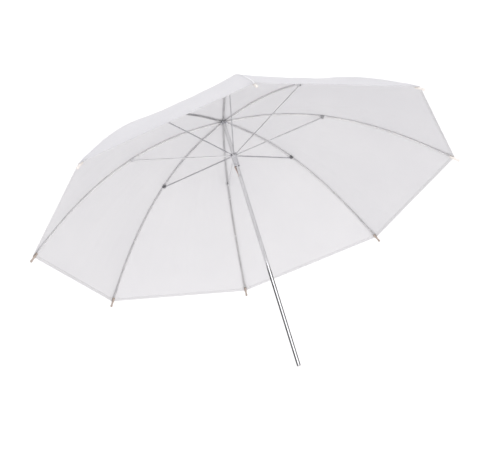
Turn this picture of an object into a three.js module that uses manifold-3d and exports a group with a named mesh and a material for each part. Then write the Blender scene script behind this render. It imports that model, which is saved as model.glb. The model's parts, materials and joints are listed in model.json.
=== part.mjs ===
// A white shoot-through studio umbrella, open, with eight ribs and eight panels.
// Units are millimetres. The shaft lies along Y: its free end points to -Y and the crown to +Y,
// so the open side of the canopy faces -Y. The origin is on the shaft's axis in the middle of the
// length that a stand's umbrella bracket grips.
import * as THREE from "three";
import { mergeVertices } from "three/addons/utils/BufferGeometryUtils.js";
import Module from "manifold-3d";

const wasm = await Module();
wasm.setup();

// Driving dimensions
const RIB_COUNT = 8;
const SECTOR = (2 * Math.PI) / RIB_COUNT;
const FIRST_RIB_AZIMUTH = SECTOR / 2; // a panel, not a rib, is at the top and at the bottom
const CORNER_RADIUS = 475; // shaft axis to a canopy corner
const CANOPY_DEPTH = 222; // crown pivots to the corners, along the shaft
const PROFILE_POWER = 2.2; // a rib's curve: depth = CANOPY_DEPTH * (radius / CORNER_RADIUS) ^ power
const GAP = 0.3; // clearance between pieces that touch on the real umbrella

const SHAFT_RADIUS = 4;
const SHAFT_WALL = 0.7;
const SHAFT_TOP = -18; // distances along the shaft are measured from the crown pivots
const SHAFT_BOTTOM = 598;
const PLUG_CAP = 2;
const CLAMP_FROM_END = 60;
const SHAFT_END = SHAFT_BOTTOM + GAP + PLUG_CAP;
const CROWN_Y = SHAFT_END - CLAMP_FROM_END; // the crown pivots' place in the part's frame

const PIVOT_RADIUS = 6.6; // rib pivots at the crown and stretcher pivots at the runner
const RING_WIRE = 0.4;
const EYE_HOLE = RING_WIRE + 0.35;
const EYE_RADIUS = 1.45;
const NOTCH_RADIUS = 8.2;
const NOTCH_HALF_HEIGHT = 3;
const BORE = SHAFT_RADIUS + GAP;
const SLOT_WIDTH = 2.2;
const SLOT_FLOOR = PIVOT_RADIUS - EYE_RADIUS - GAP;
const GROOVE_FLOOR = PIVOT_RADIUS - RING_WIRE - GAP;
const GROOVE_HALF_HEIGHT = RING_WIRE + GAP;

const BLADE_THICKNESS = 1.6; // the flat eye end of a rib, and a stretcher
const RIB_WIDTH = 3;
const RIB_HALF_DEPTH = 1.2;
const RIB_WALL = 0.6;
const CHANNEL_START = 12;
const BLADE_END = 24;
const RIB_END = CORNER_RADIUS + 1;
const RIB_STEPS = 15;

const CLIP_RADIUS = 222; // where on the rib its clip sits
const CLIP_DROP = 3.2; // the clip's pin hangs this far inside the rib's centre line
const CLIP_HALF_LENGTH = 4.5;
const CLIP_SHEET = 0.7;
const CLIP_PIN = 0.5;
const STRETCHER_HALF_DEPTH = 1.25;
const JOINT_EYE_RADIUS = 1.6;

const TIP_RADIUS = 2.9;
const TIP_BORE = 2.25;
const TIP_INSIDE = 10; // how far the sleeve reaches back over the rib from the canopy's corner
const TIP_BEYOND = 14;

const FABRIC_THICKNESS = 0.8;
const FABRIC_LIFT = 2.2; // inner face above the rib's centre line
const FABRIC_LIFT_AT_TIP = 3.5;
const LIFT_FROM = 430;
const LIFT_TO = 462;
const FABRIC_START = 10;
const FABRIC_STEPS = 18;

// A rib's curve in its own plane: x is the distance from the shaft's axis, y runs towards the crown
const ribDepth = (r) => CANOPY_DEPTH * (r / CORNER_RADIUS) ** PROFILE_POWER;
const ribSlope = (r) =>
  ((CANOPY_DEPTH * PROFILE_POWER) / CORNER_RADIUS) * (r / CORNER_RADIUS) ** (PROFILE_POWER - 1);
const ribAngle = (r) => -Math.atan(ribSlope(r));

function ribPoint(r, lift = 0) {
  const a = ribAngle(r);
  return new THREE.Vector2(r - lift * Math.sin(a), -ribDepth(r) + lift * Math.cos(a));
}

// The pin of a clip, and the runner's place when the canopy is open: the stretcher is as long as
// the rib's inner part, so the pin stays half way between the crown's and the runner's pivots.
const CLIP_PIN_AT = ribPoint(CLIP_RADIUS, -CLIP_DROP);
const RUNNER_AT = -2 * CLIP_PIN_AT.y;

const RUNNER_HALF_HEIGHT = 3.5;
const RUNNER_LENGTH = 30.5; // pivots to the sleeve's lower edge
const SLEEVE_RADIUS = 5.7;
const BEAD_RADIUS = 6.5;
const BEAD_HEIGHT = 3;

const CATCH_TOP = RUNNER_AT + RUNNER_LENGTH + 0.6;
const CATCH_LENGTH = 23;
const CATCH_PIVOT_X = 1.5; // how far the catch's pin is off the shaft's axis
const CATCH_OUT = 8; // the shoulder's distance from the axis
const CATCH_PIN = 0.7;

// Solids and booleans
function solid(geometry) {
  const bare = geometry.clone();
  for (const name of Object.keys(bare.attributes)) {
    if (name !== "position") bare.deleteAttribute(name);
  }
  const merged = mergeVertices(bare, 1e-4);
  return new wasm.Manifold(
    new wasm.Mesh({
      numProp: 3,
      vertProperties: new Float32Array(merged.attributes.position.array),
      triVerts: new Uint32Array(merged.index.array),
    }),
  );
}

function geometryOf(body) {
  const mesh = body.getMesh();
  const geometry = new THREE.BufferGeometry();
  geometry.setAttribute("position", new THREE.BufferAttribute(mesh.vertProperties, 3));
  geometry.setIndex(new THREE.BufferAttribute(mesh.triVerts, 1));
  geometry.computeVertexNormals();
  return geometry;
}

const cut = (body, tools) => tools.reduce((left, tool) => left.subtract(solid(tool)), solid(body));
const join = (bodies) => bodies.slice(1).reduce((sum, body) => sum.add(solid(body)), solid(bodies[0]));

// A flat plate with its outline in the XY plane, centred on z, or with its lower face at zFrom
function plate(shape, thickness, zFrom = -thickness / 2) {
  const options = { depth: thickness, bevelEnabled: false, curveSegments: 6 };
  return new THREE.ExtrudeGeometry(shape, options).translate(0, 0, zFrom);
}

// A turned piece about Y: the outline is a list of [radius, distance along the shaft], either way round
function turned(outline, segments = 24) {
  const points = outline.map(([radius, along]) => new THREE.Vector2(radius, -along));
  if (THREE.ShapeUtils.area(points) < 0) points.reverse();
  return new THREE.LatheGeometry(points, segments);
}

function pinAlongZ(radius, halfLength, sides = 10) {
  return new THREE.CylinderGeometry(radius, radius, 2 * halfLength, sides).rotateX(Math.PI / 2);
}

// Materials
const finish = (color, roughness, metalness) =>
  new THREE.MeshStandardMaterial({ color, roughness, metalness });
const steel = () => finish(0xb9bcc0, 0.3, 0.95);
const darkSteel = () => finish(0x55575a, 0.45, 0.9);
const chrome = () => finish(0xd8dadd, 0.12, 1);
const brassyLeaf = () => finish(0x8b7a62, 0.4, 0.8);
const plastic = () => finish(0xd9bfae, 0.5, 0);
const whitePlastic = () => finish(0xe6e6e4, 0.45, 0);
const fabric = () => finish(0xf1f2f5, 0.85, 0);

const umbrella = new THREE.Group();
umbrella.position.y = CROWN_Y;

function add(parent, name, geometry, material) {
  const mesh = new THREE.Mesh(geometry, material);
  mesh.name = name;
  parent.add(mesh);
  return mesh;
}

// Shaft, with a slot and a cross hole for the catch and a cross hole for the runner's stop pin
const STOP_AT = RUNNER_AT - RUNNER_HALF_HEIGHT - 1.3;
const STOP_PIN = 0.8;
const STOP_PIN_HALF_LENGTH = 5.2;

function shaft() {
  const inner = SHAFT_RADIUS - SHAFT_WALL;
  const tube = turned([
    [inner, SHAFT_TOP],
    [inner, SHAFT_BOTTOM],
    [SHAFT_RADIUS, SHAFT_BOTTOM],
    [SHAFT_RADIUS, SHAFT_TOP],
    [inner, SHAFT_TOP],
  ]);
  const slotLength = CATCH_LENGTH + 3;
  const slot = new THREE.BoxGeometry(3, slotLength, SLOT_WIDTH);
  slot.translate(-SHAFT_RADIUS, -(CATCH_TOP - 0.5 + slotLength / 2), 0);
  const catchHole = pinAlongZ(CATCH_PIN + GAP, SHAFT_RADIUS + 1);
  catchHole.translate(-CATCH_PIVOT_X, -(CATCH_TOP + CATCH_LENGTH), 0);
  const stopHole = pinAlongZ(STOP_PIN + GAP, SHAFT_RADIUS + 1).translate(0, -STOP_AT, 0);
  return geometryOf(cut(tube, [slot, catchHole, stopHole]));
}

function shaftEndPlug() {
  const spigot = SHAFT_RADIUS - SHAFT_WALL - GAP;
  return turned([
    [0, SHAFT_BOTTOM - 13],
    [0, SHAFT_END],
    [SHAFT_RADIUS - 0.5, SHAFT_END],
    [SHAFT_RADIUS, SHAFT_END - 0.5],
    [SHAFT_RADIUS, SHAFT_BOTTOM + GAP],
    [spigot, SHAFT_BOTTOM + GAP],
    [spigot, SHAFT_BOTTOM - 13],
    [0, SHAFT_BOTTOM - 13],
  ]);
}

function finial() {
  return turned([
    [0, -18.6],
    [BORE, -18.6],
    [BORE, -8.6],
    [5.6, -8.6],
    [5.6, -11],
    [5, -12],
    [5, -27],
    [4.2, -30.5],
    [2.6, -32],
    [0, -32],
    [0, -18.6],
  ]);
}

// The washer that presses the panels' points onto the crown
function canopyCap() {
  return turned([
    [BORE, -3.6],
    [BORE, -8.3],
    [7.5, -8.3],
    [12.5, -7.2],
    [16.2, -5.4],
    [17, -4.2],
    [16.6, -3.6],
    [BORE, -3.6],
  ]);
}

// Eight slots for the eyes, cut down from the top of a turned notch
function slotted(body, along, top, bottom) {
  const slots = [];
  for (let k = 0; k < RIB_COUNT; k++) {
    const depth = NOTCH_RADIUS + 2 - SLOT_FLOOR;
    const slot = new THREE.BoxGeometry(depth, bottom - top, SLOT_WIDTH);
    slot.translate(SLOT_FLOOR + depth / 2, -(along + (top + bottom) / 2), 0);
    slots.push(slot.rotateY(-(FIRST_RIB_AZIMUTH + k * SECTOR)));
  }
  return geometryOf(cut(body, slots));
}

function notchOutline(along, halfHeight, below) {
  return [
    [BORE, along - halfHeight],
    ...below,
    [NOTCH_RADIUS, along + halfHeight],
    [NOTCH_RADIUS, along + GROOVE_HALF_HEIGHT],
    [GROOVE_FLOOR, along + GROOVE_HALF_HEIGHT],
    [GROOVE_FLOOR, along - GROOVE_HALF_HEIGHT],
    [NOTCH_RADIUS, along - GROOVE_HALF_HEIGHT],
    [NOTCH_RADIUS, along - halfHeight + 0.6],
    [NOTCH_RADIUS - 0.6, along - halfHeight],
    [BORE, along - halfHeight],
  ];
}

function crownNotch() {
  const body = turned(notchOutline(0, NOTCH_HALF_HEIGHT, [[BORE, NOTCH_HALF_HEIGHT]]), 32);
  return slotted(body, 0, -NOTCH_HALF_HEIGHT - 1, NOTCH_HALF_HEIGHT + 1);
}

function runner() {
  const end = RUNNER_AT + RUNNER_LENGTH;
  const sleeve = [
    [BORE, end],
    [BEAD_RADIUS - 0.6, end],
    [BEAD_RADIUS, end - 0.6],
    [BEAD_RADIUS, end - BEAD_HEIGHT + 0.6],
    [SLEEVE_RADIUS, end - BEAD_HEIGHT],
    [SLEEVE_RADIUS, RUNNER_AT + RUNNER_HALF_HEIGHT],
  ];
  const body = turned(notchOutline(RUNNER_AT, RUNNER_HALF_HEIGHT, sleeve), 32);
  return slotted(body, RUNNER_AT, -RUNNER_HALF_HEIGHT - 1, RUNNER_HALF_HEIGHT - 0.01);
}

function wireRing(along) {
  return new THREE.TorusGeometry(PIVOT_RADIUS, RING_WIRE, 6, 32)
    .rotateX(Math.PI / 2)
    .translate(0, -along, 0);
}

// The catch: a leaf on a pin in the shaft, whose shoulder stands under the runner's lower edge
function catchLeaf() {
  const shape = new THREE.Shape();
  const pivotY = -(CATCH_TOP + CATCH_LENGTH);
  const eye = CATCH_PIN + GAP + 0.7;
  shape.moveTo(-CATCH_PIVOT_X + eye, pivotY);
  shape.lineTo(-CATCH_PIVOT_X + eye * 0.7, pivotY + 4);
  shape.lineTo(-1.7, -CATCH_TOP);
  shape.lineTo(-CATCH_OUT + 0.6, -CATCH_TOP);
  shape.lineTo(-CATCH_OUT, -CATCH_TOP - 0.8);
  shape.lineTo(-CATCH_PIVOT_X - eye, pivotY);
  shape.absarc(-CATCH_PIVOT_X, pivotY, eye, Math.PI, 2 * Math.PI);
  const hole = new THREE.Path();
  hole.absarc(-CATCH_PIVOT_X, pivotY, CATCH_PIN + GAP, 0, 2 * Math.PI, true);
  shape.holes.push(hole);
  return plate(shape, BLADE_THICKNESS);
}

function catchPin() {
  return pinAlongZ(CATCH_PIN, 3.6).translate(-CATCH_PIVOT_X, -(CATCH_TOP + CATCH_LENGTH), 0);
}

// A strip of the rib's curve between two lifts
function ribStrip(from, to, low, high, steps) {
  const shape = new THREE.Shape();
  for (let i = 0; i <= steps; i++) {
    const p = ribPoint(from + ((to - from) * i) / steps, low);
    if (i === 0) shape.moveTo(p.x, p.y);
    else shape.lineTo(p.x, p.y);
  }
  for (let i = steps; i >= 0; i--) {
    const p = ribPoint(from + ((to - from) * i) / steps, high);
    shape.lineTo(p.x, p.y);
  }
  return shape;
}

// A rib: a U-shaped steel channel, open on the inner side, with a flat eye end at the crown
function rib() {
  const channel = plate(ribStrip(CHANNEL_START, RIB_END, -RIB_HALF_DEPTH, RIB_HALF_DEPTH, RIB_STEPS), RIB_WIDTH);
  const hollow = plate(
    ribStrip(CHANNEL_START - 2, RIB_END + 2, -RIB_HALF_DEPTH - 1, RIB_HALF_DEPTH - RIB_WALL, RIB_STEPS),
    RIB_WIDTH - 2 * RIB_WALL,
  );
  const blade = new THREE.Shape();
  const far = ribPoint(BLADE_END);
  blade.moveTo(PIVOT_RADIUS, -RIB_HALF_DEPTH);
  blade.lineTo(far.x, far.y - RIB_HALF_DEPTH);
  blade.lineTo(far.x, far.y + RIB_HALF_DEPTH);
  blade.lineTo(PIVOT_RADIUS, RIB_HALF_DEPTH);
  const eye = new THREE.Shape();
  eye.absarc(PIVOT_RADIUS, 0, EYE_RADIUS, 0, 2 * Math.PI);
  const hole = pinAlongZ(EYE_HOLE, RIB_WIDTH).translate(PIVOT_RADIUS, 0, 0);
  const body = geometryOf(cut(channel, [hollow]));
  const withEye = geometryOf(join([body, plate(blade, BLADE_THICKNESS), plate(eye, BLADE_THICKNESS)]));
  return geometryOf(cut(withEye, [hole]));
}

// The sleeve on a rib's end, with a rounded nose
function ribTip() {
  const nose = TIP_RADIUS * 0.95;
  return turned(
    [
      [TIP_BORE, TIP_INSIDE],
      [TIP_BORE, -2],
      [0, -2],
      [0, -TIP_BEYOND],
      [nose * 0.5, -TIP_BEYOND + 0.4],
      [nose * 0.87, -TIP_BEYOND + 1.5],
      [nose, -TIP_BEYOND + 3],
      [TIP_RADIUS * 0.72, -TIP_BEYOND + 5.5],
      [TIP_RADIUS * 0.8, -2],
      [TIP_RADIUS, 1],
      [TIP_RADIUS, TIP_INSIDE - 0.5],
      [TIP_RADIUS - 0.3, TIP_INSIDE],
      [TIP_BORE, TIP_INSIDE],
    ],
    10,
  );
}

// The clip on a rib: two cheeks on either side of it, joined by the stretcher's pin
function ribClip() {
  const low = -CLIP_DROP - JOINT_EYE_RADIUS - 0.4;
  const high = RIB_HALF_DEPTH - 0.2;
  const cheek = new THREE.Shape();
  cheek.moveTo(-CLIP_HALF_LENGTH, high);
  cheek.lineTo(-CLIP_HALF_LENGTH, -1);
  cheek.lineTo(-2.2, low);
  cheek.lineTo(2.2, low);
  cheek.lineTo(CLIP_HALF_LENGTH, -1);
  cheek.lineTo(CLIP_HALF_LENGTH, high);
  const inner = RIB_WIDTH / 2 + GAP;
  const pin = pinAlongZ(CLIP_PIN, inner + CLIP_SHEET).translate(0, -CLIP_DROP, 0);
  const cheeks = [plate(cheek, CLIP_SHEET, inner), plate(cheek, CLIP_SHEET, -inner - CLIP_SHEET)];
  return geometryOf(join([cheeks[0], pin, cheeks[1]]));
}

// A stretcher: a flat steel link with an eye at each end, drawn from the runner's pivot along +x
const FROM_RUNNER = new THREE.Vector2(CLIP_PIN_AT.x - PIVOT_RADIUS, CLIP_PIN_AT.y + RUNNER_AT);
function stretcher() {
  const length = FROM_RUNNER.length();
  const nearAngle = Math.asin(STRETCHER_HALF_DEPTH / EYE_RADIUS);
  const farAngle = Math.asin(STRETCHER_HALF_DEPTH / JOINT_EYE_RADIUS);
  const shape = new THREE.Shape();
  shape.absarc(0, 0, EYE_RADIUS, nearAngle, 2 * Math.PI - nearAngle);
  shape.absarc(length, 0, JOINT_EYE_RADIUS, farAngle - Math.PI, Math.PI - farAngle);
  const nearHole = new THREE.Path();
  nearHole.absarc(0, 0, EYE_HOLE, 0, 2 * Math.PI, true);
  const farHole = new THREE.Path();
  farHole.absarc(length, 0, CLIP_PIN + 0.35, 0, 2 * Math.PI, true);
  shape.holes.push(nearHole, farHole);
  return plate(shape, BLADE_THICKNESS);
}

// A panel: the cloth is stretched in straight lines between points at the same radius on two
// neighbouring ribs, so its hem is straight. It is drawn about +x, half way between its two ribs.
function panel() {
  const half = SECTOR / 2;
  const points = [];
  const corner = (r, side, extra) => {
    const t = THREE.MathUtils.smoothstep(r, LIFT_FROM, LIFT_TO);
    const p = ribPoint(r, THREE.MathUtils.lerp(FABRIC_LIFT, FABRIC_LIFT_AT_TIP, t) + extra);
    return [p.x * Math.cos(half), p.y, side * (p.x * Math.sin(half) - GAP)];
  };
  for (let i = 0; i <= FABRIC_STEPS; i++) {
    const r = THREE.MathUtils.lerp(FABRIC_START, CORNER_RADIUS, i / FABRIC_STEPS);
    points.push(corner(r, -1, 0), corner(r, 1, 0), corner(r, 1, FABRIC_THICKNESS), corner(r, -1, FABRIC_THICKNESS));
  }
  const index = [0, 1, 2, 0, 2, 3];
  for (let i = 0; i < FABRIC_STEPS; i++) {
    for (let side = 0; side < 4; side++) {
      const a = 4 * i + side;
      const b = 4 * i + ((side + 1) % 4);
      index.push(a, a + 4, b, b, a + 4, b + 4);
    }
  }
  const last = 4 * FABRIC_STEPS;
  index.push(last, last + 2, last + 1, last, last + 3, last + 2);
  const geometry = new THREE.BufferGeometry();
  geometry.setAttribute("position", new THREE.Float32BufferAttribute(points.flat(), 3));
  geometry.setIndex(index);
  geometry.computeVertexNormals();
  return geometry;
}

add(umbrella, "shaft", shaft(), chrome());
add(umbrella, "shaft_end_plug", shaftEndPlug(), chrome());
add(umbrella, "finial", finial(), whitePlastic());
add(umbrella, "canopy_cap", canopyCap(), whitePlastic());
add(umbrella, "crown_notch", crownNotch(), darkSteel());
add(umbrella, "crown_wire_ring", wireRing(0), steel());
add(umbrella, "runner", runner(), chrome());
add(umbrella, "runner_wire_ring", wireRing(RUNNER_AT), steel());
add(umbrella, "catch_leaf", catchLeaf(), brassyLeaf());
add(umbrella, "catch_pin", catchPin(), steel());
const stopPin = pinAlongZ(STOP_PIN, STOP_PIN_HALF_LENGTH).translate(0, -STOP_AT, 0);
add(umbrella, "runner_stop_pin", stopPin, steel());

for (let k = 0; k < RIB_COUNT; k++) {
  const plane = new THREE.Group();
  plane.rotation.y = -(FIRST_RIB_AZIMUTH + k * SECTOR);
  umbrella.add(plane);
  const number = k + 1;
  add(plane, `rib_${number}`, rib(), steel());
  const tip = add(plane, `rib_tip_${number}`, ribTip(), plastic());
  tip.position.set(CORNER_RADIUS, -CANOPY_DEPTH, 0);
  tip.rotation.z = ribAngle(CORNER_RADIUS) - Math.PI / 2;
  const clip = add(plane, `rib_clip_${number}`, ribClip(), darkSteel());
  const seat = ribPoint(CLIP_RADIUS);
  clip.position.set(seat.x, seat.y, 0);
  clip.rotation.z = ribAngle(CLIP_RADIUS);
  const link = add(plane, `stretcher_${number}`, stretcher(), steel());
  link.position.set(PIVOT_RADIUS, -RUNNER_AT, 0);
  link.rotation.z = FROM_RUNNER.angle();

  const middle = new THREE.Group();
  middle.rotation.y = -(FIRST_RIB_AZIMUTH + (k + 0.5) * SECTOR);
  umbrella.add(middle);
  add(middle, `canopy_panel_${number}`, panel(), fabric());
}

export default umbrella;
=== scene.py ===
"""A white shoot-through studio umbrella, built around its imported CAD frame.

Lengths in the outlines are millimetres, and a piece is brought to metres when it is placed. Distances
"along" run from the crown's pivots down the shaft, as in the CAD source."""
import json
import math

import bmesh
import bpy
import numpy as np
from mathutils import Matrix, Vector, noise


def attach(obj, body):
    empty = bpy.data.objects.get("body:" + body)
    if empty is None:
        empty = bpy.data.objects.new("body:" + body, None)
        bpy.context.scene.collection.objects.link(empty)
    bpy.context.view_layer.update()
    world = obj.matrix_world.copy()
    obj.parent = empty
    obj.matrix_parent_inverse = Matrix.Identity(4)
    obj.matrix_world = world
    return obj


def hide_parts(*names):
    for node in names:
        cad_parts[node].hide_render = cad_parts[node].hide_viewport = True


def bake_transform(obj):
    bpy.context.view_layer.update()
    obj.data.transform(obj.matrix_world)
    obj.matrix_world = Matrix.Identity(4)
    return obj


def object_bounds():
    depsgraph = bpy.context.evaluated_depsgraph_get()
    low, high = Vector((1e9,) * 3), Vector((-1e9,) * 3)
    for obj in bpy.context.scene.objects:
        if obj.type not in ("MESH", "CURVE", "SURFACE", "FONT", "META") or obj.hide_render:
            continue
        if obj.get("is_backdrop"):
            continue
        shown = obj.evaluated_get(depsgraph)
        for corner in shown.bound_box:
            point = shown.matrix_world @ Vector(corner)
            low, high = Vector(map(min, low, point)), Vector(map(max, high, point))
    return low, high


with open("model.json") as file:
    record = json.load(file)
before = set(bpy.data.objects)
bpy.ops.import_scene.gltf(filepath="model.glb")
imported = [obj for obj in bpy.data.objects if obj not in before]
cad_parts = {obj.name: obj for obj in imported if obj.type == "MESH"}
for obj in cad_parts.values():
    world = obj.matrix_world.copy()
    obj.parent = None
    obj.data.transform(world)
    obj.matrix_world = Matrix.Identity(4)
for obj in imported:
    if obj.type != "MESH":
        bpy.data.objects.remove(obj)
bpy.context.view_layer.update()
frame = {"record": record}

# ---------------------------------------------------------------- driving dimensions
MM = 0.001
RIBS = 8
SECTOR = 2 * math.pi / RIBS
FIRST_RIB = SECTOR / 2
CORNER_RADIUS = 475.0
CANOPY_DEPTH = 222.0
PROFILE_POWER = 2.2
GAP = 0.3
JOINTS = {j["name"]: j for j in frame["record"]["behaviour"]["joints"]}
CROWN_Y = JOINTS["canopy_fold"]["pos_m"][1]

SHAFT_RADIUS = 4.0
SHAFT_BORE = 3.3
SHAFT_TOP = -18.0
SHAFT_BOTTOM = 598.0
PLUG_END = 600.3
STOP_PIN = 0.8
STOP_PIN_HALF = 5.2
PIN_HOLE_HALF = 6
BORE = SHAFT_RADIUS + GAP
PIVOT_RADIUS = 6.6
RING_WIRE = 0.4
EYE_RADIUS = 1.45
EYE_HOLE = 0.75
NOTCH_RADIUS = 8.2
SLOT_WIDTH = 2.2
SLOT_FLOOR = 4.85
GROOVE_FLOOR = 5.9
GROOVE_HALF_HEIGHT = 0.7
RIB_HALF_DEPTH = 1.2
RIB_HALF_WIDTH = 1.5
RIB_WALL = 0.6
RIB_WEB = 1.3
CLIP_RADIUS = 222.0
CLIP_DROP = 3.2
JOINT_EYE_RADIUS = 1.6
BLADE_HALF = 0.8
SHANK_HALF_THICKNESS = 1.15
SHANK_HALF_DEPTH = 1.45
SHANK_START = 9.0
SHANK_TAPER = 7.0
SHANK_STEPS = 40

CLOTH_START = 9.6
CLOTH_LIFT = 2.4
CLOTH_LIFT_AT_TIP = 3.7
SAGS = (3.5, 6.5, 4.5, 3.5, 3.0, 3.5, 3.0, 4.0)
HEM_WIDTH = 5.5
SEAM_HALF_WIDTH = 1.6
SEAM_BAND = 2.0  # the cloth on each side of a rib that takes that rib's whole share
STITCH_PITCH = 4.0
STITCH_LENGTH = 2.7
THREAD = 0.2
STITCH_LIFT = 0.42
STITCH_SHARES = (0, *[0.22] * 4, *[0.78] * 4, 1)  # the places along a stitch of its ten vertices
SEAM_RUN = 0.78  # the stitched length over RIM_RATE: the cloth is shorter than its run at the rim's slope
SEAM_ROWS = 120
SEAM_SECTION = [(0.0, 0.5), (0.25, 0.42), (0.6, 0.36), (0.96, 0.3), (1.0, 0.06)]
PATCH_DEPTH = 24.0
PATCH_HALF_WIDTH = 15.0
TIE_RADII = (262.0, 356.0)


def smooth(t):
    t = min(1.0, max(0.0, t))
    return t * t * (3 - 2 * t)


def lerp(a, b, t):
    return a + (b - a) * t


# ---------------------------------------------------------------- the rib's curve
def rib_depth(r):
    return CANOPY_DEPTH * (r / CORNER_RADIUS) ** PROFILE_POWER


def rib_slope(r):
    return CANOPY_DEPTH * PROFILE_POWER / CORNER_RADIUS * (r / CORNER_RADIUS) ** (PROFILE_POWER - 1)


def rib_angle(r):
    return -math.atan(rib_slope(r))


def rib_curve(r, lift=0.0):
    """(x, y) in a rib's own plane of a point lifted off its centre line: x from the axis, y to the crown."""
    a = rib_angle(r)
    return r - lift * math.sin(a), -rib_depth(r) + lift * math.cos(a)


CLIP_PIN_AT = rib_curve(CLIP_RADIUS, -CLIP_DROP)
RUNNER_AT = -2 * CLIP_PIN_AT[1]
RUNNER_END = RUNNER_AT + 30.5
CATCH_TOP = RUNNER_END + 0.6
CATCH_LENGTH = 23.0
CATCH_AT = CATCH_TOP + CATCH_LENGTH
CATCH_PIVOT_X = 1.5
CATCH_PIN = 0.7
CATCH_PIN_HALF = 3.6
SLOT_LEAD = 1.4
SLOT_TAIL = 2.5
RUNNER_HALF = 3.5
STOP_AT = RUNNER_AT - RUNNER_HALF - 1.3
CATCH_PIN_AT = Matrix.Translation((-CATCH_PIVOT_X, -CATCH_AT, 0))
STOP_PIN_AT = Matrix.Translation((0, -STOP_AT, 0))

CROWN = Matrix.Translation((0, CROWN_Y, 0)) @ Matrix.Scale(MM, 4)


def rib_turn(k):
    a = FIRST_RIB + k * SECTOR
    return Matrix(((math.cos(a), 0, -math.sin(a)), (0, 1, 0), (math.sin(a), 0, math.cos(a)))).to_4x4()


def rib_plane(k):
    """From a rib's own plane, in millimetres, to the part's frame."""
    return CROWN @ rib_turn(k)


# ---------------------------------------------------------------- mesh helpers
def mesh_object(name, vertices, faces, look, matrix=None):
    mesh = bpy.data.meshes.new(name)
    mesh.from_pydata([tuple(v) for v in vertices], [], faces)
    mesh.update()
    if look is not None:
        mesh.materials.append(look)
    if matrix is not None:
        mesh.transform(matrix)
    obj = bpy.data.objects.new(name, mesh)
    bpy.context.scene.collection.objects.link(obj)
    return obj


def soften(obj, angle=40.0):
    """Smooth shading, with the edges sharper than the angle left crisp."""
    obj.data.polygons.foreach_set("use_smooth", [True] * len(obj.data.polygons))
    obj.data.set_sharp_from_angle(angle=math.radians(angle))
    return obj


def face_out(obj):
    work = bmesh.new()
    work.from_mesh(obj.data)
    bmesh.ops.recalc_face_normals(work, faces=work.faces)
    work.to_mesh(obj.data)
    work.free()
    return obj


def apply_modifiers(obj):
    graph = bpy.context.evaluated_depsgraph_get()
    mesh = bpy.data.meshes.new_from_object(obj.evaluated_get(graph))
    obj.modifiers.clear()
    obj.data = mesh
    return obj


def cut(obj, tools):
    """Cuts the tools out of a piece, and removes them."""
    for tool in tools:
        step = obj.modifiers.new("cut", "BOOLEAN")
        step.operation = "DIFFERENCE"
        step.solver = "EXACT"
        step.object = tool
    apply_modifiers(obj)
    for tool in tools:
        bpy.data.objects.remove(tool)
    return obj


def bevel(obj, width, angle=50.0, segments=2):
    step = obj.modifiers.new("edges", "BEVEL")
    step.width = width
    step.segments = segments
    step.limit_method = "ANGLE"
    step.angle_limit = math.radians(angle)
    return apply_modifiers(obj)


def filleted(outline, radius, steps=3):
    """The closed outline with each corner off the axis rounded."""
    out = []
    count = len(outline)
    for i, point in enumerate(outline):
        b = Vector(point)
        before = Vector(outline[i - 1]) - b
        after = Vector(outline[(i + 1) % count]) - b
        reach = min(radius, 0.42 * before.length, 0.42 * after.length)
        if b.x == 0 or reach < 0.01:
            out.append(b)
            continue
        p, q = b + before.normalized() * reach, b + after.normalized() * reach
        for j in range(steps + 1):
            t = j / steps
            out.append(p * (1 - t) ** 2 + b * (2 * t * (1 - t)) + q * t * t)
    return out


def lathe(name, outline, look, segments=64, fillet=0.25, matrix=None):
    """A turned piece about Y, from a closed outline of (radius, along)."""
    vertices, rings, faces = [], [], []
    for radius, along in filleted(outline, fillet):
        first = len(vertices)
        if radius < 1e-6:
            vertices.append((0, -along, 0))
        else:
            for s in range(segments):
                t = 2 * math.pi * s / segments
                vertices.append((radius * math.cos(t), -along, radius * math.sin(t)))
        rings.append(range(first, len(vertices)))
    for i, ring in enumerate(rings):
        other = rings[(i + 1) % len(rings)]
        for s in range(segments):
            n = (s + 1) % segments
            if len(ring) > 1 and len(other) > 1:
                faces.append((ring[s], ring[n], other[n], other[s]))
            elif len(ring) > 1:
                faces.append((ring[s], ring[n], other[0]))
            elif len(other) > 1:
                faces.append((ring[0], other[n], other[s]))
    return face_out(mesh_object(name, vertices, faces, look, matrix))


def circle(x, y, radius, count=20, turns=1):
    angles = [turns * 2 * math.pi * i / count for i in range(count)]
    return [(x + radius * math.cos(a), y + radius * math.sin(a)) for a in angles]


def arc(x, y, radius, start, end, count=12):
    angles = [lerp(start, end, i / count) for i in range(count + 1)]
    return [(x + radius * math.cos(a), y + radius * math.sin(a)) for a in angles]


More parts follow.
